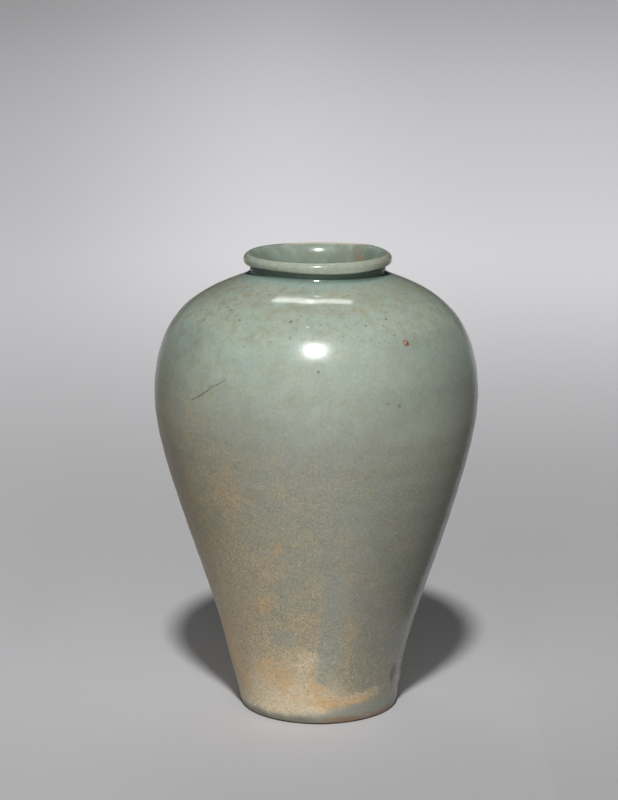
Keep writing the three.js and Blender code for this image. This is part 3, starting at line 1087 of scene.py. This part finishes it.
# %% [markdown]
# ## Putting the pieces in the frame
# Each fine piece stands for one solid of the frame, rides on the jar's one body and takes its finish.

# %% Place the pieces
PLACES = (
    (foot, "foot_ring", "bare_clay", bare_clay),
    (slab, "base_disc", "body_clay", body_clay),
    (lower_section, "lower_wall", "body_clay", body_clay),
    (shoulder_section, "shoulder_wall", "body_clay", body_clay),
    (neck_section, "neck_collar", "body_clay", body_clay),
    (lip_section, "rolled_lip", "body_clay", body_clay),
    (outer_coat, "outer_glaze", "outer_celadon", outer),
    (inner_coat, "inner_glaze", "inner_celadon", inner),
)
for piece, node, slot, finish in PLACES:
    piece.data.materials.append(finish.material)
    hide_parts(node)
    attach(piece, "root")
    print(piece.name, "stands for", node)

# %% [markdown]
# ## Floor
# The jar stands on grey paper. A curved sweep of paper would be the studio's way, but then the jar has a wall
# behind it from one side only. A wide, flat disc has none and keeps the shadow. Its grey is painted darker to
# the left, the right and the front, as painted shade. Its far part glows with painted light, for the camera
# and for mirrored rays alone.

# %% Disc of paper
PAPER_REACH = 9.0
PAPER_DROP = 0.02 * MM
PAPER_SIDES = 128

disc = bmesh.new()
bmesh.ops.create_circle(disc, cap_ends=True, radius=PAPER_REACH, segments=PAPER_SIDES)
bmesh.ops.translate(disc, verts=disc.verts, vec=(0, 0, -PAPER_DROP))
paper = in_scene("grey_paper", disc)
print("the paper reaches", PAPER_REACH, "m")

# %% Grey of the paper
PAPER_GREY = paint(199, 198, 200)
CAMERA_BACK = 730
LEFT_SLOPE = (0, -0.13)
LEFT_DEPTH = (100, 900)
RIGHT_REACH = (-60, 140)
FRONT_REACH = (30, -110)

sheet = Finish("grey_paper", roughness=0.9)
fibre = sheet.grain(1.5, detail=3)
across = sheet.node("ShaderNodeSeparateXYZ", {}, {0: sheet.place}, "X")
away = sheet.node("ShaderNodeSeparateXYZ", {}, {0: sheet.place}, "Y")
# painted shade: the paper darkens to the left, the right and the front
left_shade = (across / (away + CAMERA_BACK)).fade(*LEFT_SLOPE) * away.fade(*LEFT_DEPTH)
right_shade = across.fade(*RIGHT_REACH)
front_shade = away.fade(*FRONT_REACH)
shading = 0.98 + 0.04 * fibre - 0.27 * left_shade - 0.08 * right_shade - 0.2 * front_shade
paper_colour = sheet.vector("SCALE", PAPER_GREY[:3], {"Scale": shading})
sheet.feed("Base Color", paper_colour)
print("the grey of the paper has", len(sheet.tree.nodes), "nodes")

# %% Glow of the far paper
PAPER_GLOW = 0.45
GLOW_TINT = (1, 0.99, 1.02)
GLOW_START = (120, 890)
GLOW_LOSS = (1300, 3600)

# painted light: the far paper glows for camera rays and mirrored rays
for_camera = sheet.node("ShaderNodeLightPath", {}, {}, "Is Camera Ray")
for_gloss = sheet.node("ShaderNodeLightPath", {}, {}, "Is Glossy Ray")
pool = sheet.radius.fade(*GLOW_START) - 0.22 * sheet.radius.fade(*GLOW_LOSS)
glow = PAPER_GLOW * pool * shading * (for_camera + for_gloss)
sheet.feed("Emission Color", sheet.vector("SCALE", GLOW_TINT, {"Scale": glow}))
sheet.feed("Emission Strength", 1)
sheet.bump(fibre, depth=0.05)
paper.data.materials.append(sheet.material)
print("with its glow the paper has", len(sheet.tree.nodes), "nodes")

# %% [markdown]
# ## Light
# One small lamp stands high on the camera's side, a little to the left: it makes the bright spot on the
# shoulder and the crisp shadow behind. Two strips in a shallow V over the back draw the line on the shoulder
# and the lip. A panel close in front, which the glaze doesn't mirror, fills the shadows. The sky is almost
# dark. A weak, almost level sun lights the jar's back and hardly touches the paper.
# Glazed pots mirror all that stands around them, so photographers put dark cards at both sides: the edges of
# the pot then turn dark and stand out from the paper. These cards lean outwards and are paler at their far
# ends. They are hidden from the camera and cast no shadow.

# %% Key and back lamps
KEY_HEIGHT = 52
KEY_SIDE = -2
KEY_DISTANCE = 3.1
KEY_RADIUS = 0.13
KEY_LEVEL = 0.82
BACK_LEVEL = 0.35
BACK_HEIGHT = 0.6
BACK_SPREAD = 2

middle = Vector((0, 0, JAR_HEIGHT / 2))


def lamp(name, kind, place):
    """A lamp at a place, turned to the middle of the jar."""
    light = bpy.data.lights.new(name, kind)
    holder = bpy.data.objects.new(name, light)
    holder.location = place
    holder.rotation_euler = (middle - place).to_track_quat("-Z", "Y").to_euler()
    holder.visible_camera = False
    bpy.context.scene.collection.objects.link(holder)
    return holder


def towards(height, side):
    """The way from the jar to a lamp, by its height and side in degrees; side 0 is the camera's."""
    up = math.radians(height)
    turn = math.radians(side)
    return Vector((math.sin(turn) * math.cos(up), -math.cos(turn) * math.cos(up), math.sin(up)))


key = lamp("key_lamp", "POINT", middle + KEY_DISTANCE * towards(KEY_HEIGHT, KEY_SIDE))
key.data.energy = KEY_LEVEL * (2 * math.pi * KEY_DISTANCE) ** 2
key.data.shadow_soft_size = KEY_RADIUS
back = lamp("back_fill", "SUN", middle + towards(BACK_HEIGHT, 180))
back.data.energy = BACK_LEVEL * math.pi
back.data.angle = math.radians(BACK_SPREAD)
back.visible_glossy = False
print("key lamp", KEY_HEIGHT, "degrees up, back lamp", BACK_HEIGHT)

# %% Panels and sky
SKY_LEVEL = 0.012
PANELS = (
    # name, place in metres, width and height, turn in degrees, glow, mirrored by the glaze
    ("strip_left", Vector((-0.125, 0.575, 1.0)), (0.24, 0.08), -45, 6.5, True),
    ("strip_right", Vector((0.07, 0.525, 1.0)), (0.24, 0.08), 15, 6.5, True),
    ("front_fill", Vector((-0.03, -0.36, 0.17)), (0.3, 0.2), 0, 2.0, False),
)

for name, place, (width, tall), turn, glow, mirrored in PANELS:
    panel = lamp(name, "AREA", place)
    panel.visible_glossy = mirrored
    panel.rotation_euler.rotate_axis("Z", math.radians(turn))
    panel.data.shape = "RECTANGLE"
    panel.data.size = width
    panel.data.size_y = tall
    panel.data.energy = glow * math.pi * width * tall
sky = bpy.data.worlds.new("studio_sky")
sky.use_nodes = True
sky.node_tree.nodes["Background"].inputs["Color"].default_value = (SKY_LEVEL, SKY_LEVEL, SKY_LEVEL, 1)
bpy.context.scene.world = sky
print(len(PANELS), "panels, sky at", SKY_LEVEL)

# %% Dark cards
CARD_HEIGHT = 0.2
CARD_GREY = (0.14, 0.14, 0.14, 1)
CARD_FAR_GREY = (0.5, 0.5, 0.5, 1)
FAR_TURN = (60, 36)
CARDS = (
    # name, near end, then side and far end of the lower edge, and of the upper edge, in metres
    ("left_card", -0.35, (-0.09, 0.05), (-0.23, 0.42)),
    ("right_card", -0.35, (0.062, 0.03), (0.2, 0.3)),
)

card_finish = Finish("card_grey", roughness=0.9)
far_end = card_finish.turn_from(180).fade(*FAR_TURN)
card_colour = card_finish.blend(far_end, CARD_GREY, CARD_FAR_GREY)
card_finish.feed("Base Color", card_colour)
for name, near, (low_side, low_far), (high_side, high_far) in CARDS:
    shape = bmesh.new()
    corners = (
        (low_side, near, 0), (low_side, low_far, 0),
        (high_side, high_far, CARD_HEIGHT), (high_side, near, CARD_HEIGHT),
    )
    bmesh.ops.contextual_create(shape, geom=[shape.verts.new(corner) for corner in corners])
    card = in_scene(name, shape)
    card.data.materials.append(card_finish.material)
    card.visible_camera = False
    card.visible_shadow = False
    print(name, "leans out from", abs(low_side), "m beside the jar's axis")

# %% [markdown]
# ## Camera
# The photograph was taken from a little above the lip with a long lens, about three quarters of a metre away.
# The place and the lens below put the jar's foot, belly and lip where the photograph has them.

# %% Camera
CAMERA_PLACE = Vector((-0.00244, -0.7262, 0.2417))
CAMERA_TILT = 78.08
LENS = 118.4

camera_data = bpy.data.cameras.new("camera")
camera_data.lens = LENS
camera = bpy.data.objects.new("camera", camera_data)
camera.location = CAMERA_PLACE
camera.rotation_euler = (math.radians(CAMERA_TILT), 0, 0)
bpy.context.scene.collection.objects.link(camera)
bpy.context.scene.camera = camera
bpy.context.scene.view_settings.view_transform = "Standard"
print("camera", round(CAMERA_PLACE.length, 3), "m from the foot")
